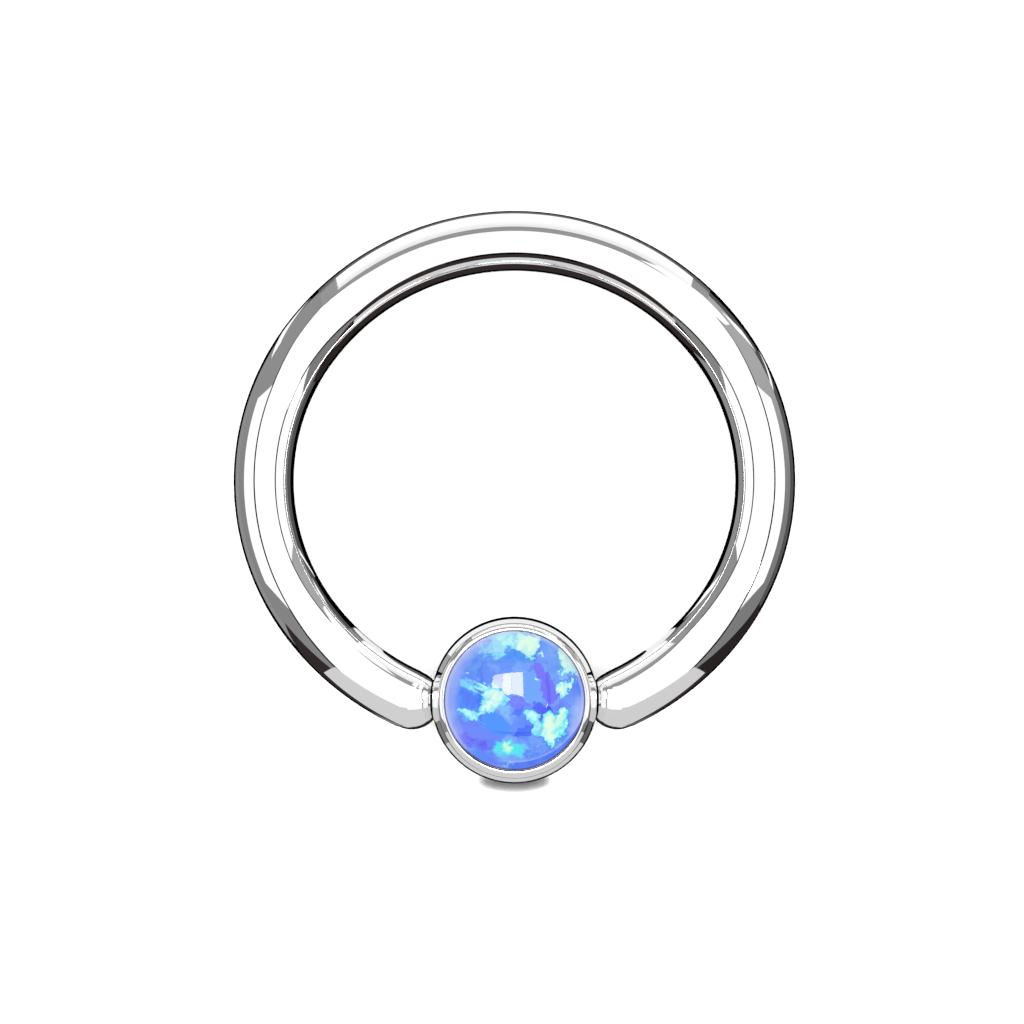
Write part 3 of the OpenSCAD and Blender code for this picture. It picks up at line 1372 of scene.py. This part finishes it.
@dataclass
class LightTent:
    """A small white tent with dark gaps, which gives the polished metal its stripes.

    The sizes are in millimetres, and those of the walls are distances from the middle of the
    ring.
    """

    side: float = 36.0
    far: float = 38.5
    near: float = 37.5
    top: float = 42.0
    paper: float = 10.7
    panel_gap: float = 0.3
    cloth_gap: float = 0.2
    window_drop: float = 2.0
    table_inner: float = 3.72
    table_width: float = 0.8
    flag_y: float = -7.8
    flag_reach: float = 1.0
    flag_depth: float = 0.28
    flag_height: float = 0.12
    wire_out: float = 6.96
    wire_up: float = 1.0
    white: Colour = grey(1.12)
    soft_white: Colour = grey(1.1)
    cloth: Colour = (0.034, 0.025, 0.026)
    dark_cloth: Colour = (0.025, 0.018, 0.019)
    window_warmth: Colour = (1.0, 0.82, 0.7)

    def cards(self) -> tuple[Card, ...]:
        """Lists the cards of the tent.

        Returns:
            The ceiling, the walls with their bright panels, the paper in front of the bead, the
            cards on the table round it, the slanting streaks and the window.
        """
        return (
            self._ceiling(),
            *self._side_walls(),
            *self._far_wall(),
            *self._near_wall(),
            *self._bead_cards(),
            *self._streaks(),
            *self._window(),
        )

    def _ceiling(self) -> Card:
        """Cuts the ceiling, whose corners are drawn out.

        Returns:
            The card.
        """
        far_half = ((33, 0), (34, 18), (43, 34), (46, 49), (22, 38), (0, 37.5))
        near_half = ((-33, 0), (-34, -18), (-37, -30), (-40, -43), (-20, -38), (0, -37))
        outline = [*far_half, *((-x, y) for x, y in far_half[-2::-1])]
        outline += [*near_half[1:], *((-x, y) for x, y in near_half[-2:0:-1])]
        return Card("ceiling", tuple((x, y, self.top) for x, y in outline), self.white)

    def _side_walls(self) -> tuple[Card, ...]:
        """Makes the left and right walls, each with its panel and the dark cloth at its end.

        Returns:
            Their cards.
        """
        rim = ((-37.5, 31), (-28, 34), (-20, 38), (20, 38), (28, 32), (38.5, 30))
        foot = ((38.5, -9), (-37.5, -9))
        below = ((38.5, -9), (-37.5, -9), (-37.5, -30), (38.5, -30))
        panel = ((-18.7, 38), (18.7, 38), (14, 6.5), (-14, 6.5))
        cloth_left = ((-37.4, 19), (-22.3, -0.9), (-33, -55), (-37.4, -55))
        cloth_right = ((-37.4, 24), (-17.9, -11.2), (-20, -55), (-37.4, -55))
        left, right = -self.side, self.side
        panel_gap, cloth_gap = self.panel_gap, self.cloth_gap
        return (
            self._side_card("wall_left", left, rim + foot, grey(0.25), grey(0.29)),
            self._side_card("wall_left_foot", left, below, grey(0.29)),
            self._side_card("panel_left", left + panel_gap, panel, self.white),
            self._side_card("cloth_left", left + cloth_gap, cloth_left, self.cloth),
            self._side_card("wall_right", right, rim + foot, grey(0.21), grey(0.42)),
            self._side_card("wall_right_foot", right, below, grey(0.09)),
            self._side_card("panel_right", right - panel_gap, panel, self.white),
            self._side_card("cloth_right", right - cloth_gap, cloth_right, self.dark_cloth),
        )

    @staticmethod
    def _side_card(
        name: str,
        x: float,
        outline: Outline,
        colour: Colour,
        far_colour: Colour | None = None,
    ) -> Card:
        """Makes a card that stands to the left or right.

        Args:
            name: its name.
            x: where it stands.
            outline: its corners, as places along the wall and heights.
            colour: its colour.
            far_colour: its colour towards the far wall, where it differs.

        Returns:
            The card.
        """
        corners = tuple((x, y, z) for y, z in outline)
        return Card(name, corners, colour, far_colour, 1, (-5.0, 22.0))

    @staticmethod
    def _end_card(
        name: str,
        y: float,
        outline: Outline,
        colour: Colour,
        low_colour: Colour | None = None,
        heights: tuple[float, float] = (0.0, 1.0),
    ) -> Card:
        """Makes a card that stands at the far or near end.

        Args:
            name: its name.
            y: where it stands.
            outline: its corners, as places from left to right and heights.
            colour: its colour.
            low_colour: its colour further down, where it differs.
            heights: the heights between which it changes.

        Returns:
            The card.
        """
        return Card(name, tuple((x, y, z) for x, z in outline), colour, low_colour, 2, heights)

    def _far_wall(self) -> tuple[Card, ...]:
        """Makes the wall beyond the ring and its big soft panel.

        Returns:
            Both cards.
        """
        y = self.far
        wall = ((-36, 30), (-22, 42), (0, 43), (22, 42), (36, 30), (36, -50), (-36, -50))
        panel = ((-30.6, 23), (30.6, 23), (30.6, -24), (-30.6, -24))
        return (
            self._end_card("wall_far", y, wall, grey(0.33), grey(0.14), (-10.0, -30.0)),
            self._end_card(
                "panel_far", y - self.panel_gap, panel, grey(0.9), self.soft_white, (22.0, 2.0)
            ),
        )

    def _near_wall(self) -> tuple[Card, ...]:
        """Makes the dark wall on the near side and the paper in front of it.

        Returns:
            Their cards, and that of the dark slot.
        """
        y = -self.near
        wall = ((-36, 31), (-21, 41), (21, 41), (36, 31), (36, -55), (-36, -55))
        slot = ((-12, 33), (12, 33), (12, 41.5), (-12, 41.5))
        paper = ((-10.8, -2.3), (10.8, -2.3), (10.8, 8.15), (-10.8, 8.15))
        return (
            self._end_card("wall_near", y, wall, self.cloth),
            self._end_card("slot_near", y + self.cloth_gap, slot, grey(0.0)),
            self._end_card("paper", -self.paper, paper, grey(0.68)),
        )

    def _bead_cards(self) -> tuple[Card, ...]:
        """Makes the cards on the table round the bead, and the flag that dims its foot.

        Returns:
            The cards.
        """
        turns = [math.radians(10 * step) for step in range(36)]
        flag = tuple(
            (
                self.flag_reach * math.cos(turn),
                self.flag_y + self.flag_depth * math.sin(turn),
                self.flag_height,
            )
            for turn in turns
        )
        return (
            self._table_card("table_far", 20, 146, 0.95),
            self._table_card("table_near", 213, 327, 0.66),
            self._table_card("table_end_146", 146, 160, 0.4),
            self._table_card("table_end_195", 195, 213, 0.22),
            self._table_card("table_end_327", 327, 345, 0.13),
            Card("flag", flag, grey(0.0), dims_floor=True),
        )

    def _table_card(self, name: str, start: float, end: float, level: float) -> Card:
        """Cuts a card that lies on the table and bends round the bead.

        Args:
            name: its name.
            start: the turn at which it starts, in degrees.
            end: the turn at which it ends.
            level: how bright it is.

        Returns:
            The card.
        """
        inner = arc((0, AXLE_Y), self.table_inner, start, end, 12)
        outer = arc((0, AXLE_Y), self.table_inner + self.table_width, start, end, 12)
        return Card(name, tuple((x, y, 0.0) for x, y in outer + inner[::-1]), grey(level))

    def _streaks(self) -> tuple[Card, ...]:
        """Makes the slanting streaks, each by the directions in which the wire shows them.

        Returns:
            Their cards.
        """
        outlines = (
            ((47.5, 45), (64, 45), (59, 63), (48, 79), (40, 80), (41, 63)),
            ((38, 90), (43, 90), (37, 113), (31, 115)),
            ((22, 109), (24, 107), (31, 141), (29, 143)),
            ((146, 103), (150, 103), (144, 140), (135, 140)),
        )
        return tuple(
            Card(f"streak_{number}", tuple(self._towards(*way) for way in outline), self.soft_white)
            for number, outline in enumerate(outlines, 1)
        )

    def _towards(self, turn: float, tilt: float, reach: float = 28.0) -> Point:
        """Finds a place by its direction from the wire.

        Args:
            turn: the direction in plan, in degrees from the right, which is also the place on
                the ring.
            tilt: the angle from straight up, in degrees.
            reach: how far away the place is, in plan.

        Returns:
            The place.
        """
        out = self.wire_out + reach
        x, y = math.cos(math.radians(turn)), math.sin(math.radians(turn))
        return (out * x, out * y, self.wire_up + reach / math.tan(math.radians(tilt)))

    def _window(self) -> tuple[Card, ...]:
        """Makes the bright window that the stone shows, of three panes and a far small one.

        Returns:
            Its panes.
        """
        panes = (
            ((-20.6, 6), (-10.55, 4.5), (-10.55, 19.4), (-19, 19), (-20.8, 17)),
            ((-10.45, 4.3), (-5.7, -1.5), (-2.6, -0.3), (-2.6, 19.7), (-10.45, 19.6)),
            ((-2.45, -0.2), (2.0, -0.8), (7.0, -2.6), (7.6, 20.6), (-2.45, 19.8)),
            ((29.6, -12), (31.6, -12.6), (32.6, -9.5), (31.8, -7.0), (31.2, -9.6)),
        )
        glows = (13.0, 17.5, 15.0, 15.0)
        return tuple(
            Card(
                f"pane_{number}",
                tuple((x, y, self.top - self.window_drop) for x, y in pane),
                tuple(glow * part for part in self.window_warmth),
            )
            for number, (pane, glow) in enumerate(zip(panes, glows), 1)
        )


@dataclass
class Studio:
    """The pale floor, the soft light, the light tent and the camera, sized in millimetres."""

    camera_x: float = -0.068
    camera_y: float = -0.42
    plane_height: float = 1.04
    distance: float = 225.0
    pixels_per_mm: float = 36.8
    frame_pixels: int = 1024
    floor_half: float = 600.0
    floor_drop: float = 0.02

    def build(self) -> None:
        """Sets up everything that isn't part of the ring."""
        self._floor()
        self._light()
        cards = LightTent().cards()
        for card in cards:
            self._hang(card)
        self._camera()
        scene = bpy.context.scene
        scene.view_settings.view_transform = "Standard"
        scene.view_settings.look = "None"
        log.info("light tent: %d cards", len(cards))

    def _hang(self, card: Card) -> None:
        """Makes one card, which only reflections see, or the flag, which only dims the floor.

        Args:
            card: the card.
        """
        mesh = bpy.data.meshes.new(card.name)
        corners = [tuple(value * MM for value in corner) for corner in card.corners]
        mesh.from_pydata(corners, [], [tuple(range(len(corners)))])
        graph = MaterialGraph(card.name)
        colour: Signal | tuple[float, ...] = (*card.colour, 1)
        if card.fades_to is not None:
            along = graph.split(graph.place_in_mm((0, 0, 0)))[card.fade_axis]
            colour = graph.mix(along.ramp(*card.fade_span), card.colour, card.fades_to)
        material = graph.finish(graph.add("ShaderNodeEmission", None, {"Color": colour}))
        material.cycles.emission_sampling = "NONE"
        mesh.materials.append(material)
        hung = bpy.data.objects.new(card.name, mesh)
        bpy.context.scene.collection.objects.link(hung)
        hung.visible_camera = False
        hung.visible_glossy = not card.dims_floor
        hung.visible_diffuse = card.dims_floor
        hung.visible_transmission = False
        hung.visible_shadow = card.dims_floor

    def _floor(self) -> None:
        """Lays the pale floor."""
        half, drop = self.floor_half * MM, self.floor_drop * MM
        mesh = bpy.data.meshes.new("floor")
        corners = [(-half, -half), (half, -half), (half, half), (-half, half)]
        mesh.from_pydata([(x, y, -drop) for x, y in corners], [], [(0, 1, 2, 3)])
        graph = MaterialGraph("pale_floor")
        matt = {"Base Color": (0.93, 0.93, 0.93, 1), "Roughness": 0.9, "Specular IOR Level": 0.1}
        paper = graph.add("ShaderNodeBsdfPrincipled", None, matt)
        mesh.materials.append(graph.finish(paper))
        floor = bpy.data.objects.new("floor", mesh)
        bpy.context.scene.collection.objects.link(floor)
        floor.visible_glossy = False

    def _light(self) -> None:
        """Lights the scene softly from all round."""
        world = bpy.data.worlds.new("soft_light")
        bpy.context.scene.world = world
        world.use_nodes = True
        background = world.node_tree.nodes["Background"].inputs
        background["Color"].default_value = (1, 1, 1, 1)
        background["Strength"].default_value = SKY
        world.cycles_visibility.glossy = False

    def _camera(self) -> None:
        """Places the camera: it looks straight down on the ring."""
        data = bpy.data.cameras.new("camera")
        camera = bpy.data.objects.new("camera", data)
        bpy.context.scene.collection.objects.link(camera)
        data.sensor_width = 36.0
        data.lens = data.sensor_width * self.distance * self.pixels_per_mm / self.frame_pixels
        data.clip_start = 0.005
        data.clip_end = 5.0
        height = self.plane_height + self.distance
        camera.location = (self.camera_x * MM, self.camera_y * MM, height * MM)
        bpy.context.scene.camera = camera


def main() -> None:
    """Builds the studio and the ring's three pieces."""
    logging.basicConfig(level=logging.INFO, format="%(name)s: %(message)s")
    swivel = Swivel()
    setting = BeadSetting(swivel)
    Studio().build()
    RingWire(swivel).build()
    setting.build()
    Opal(setting).build()


if __name__ == "__main__":
    main()
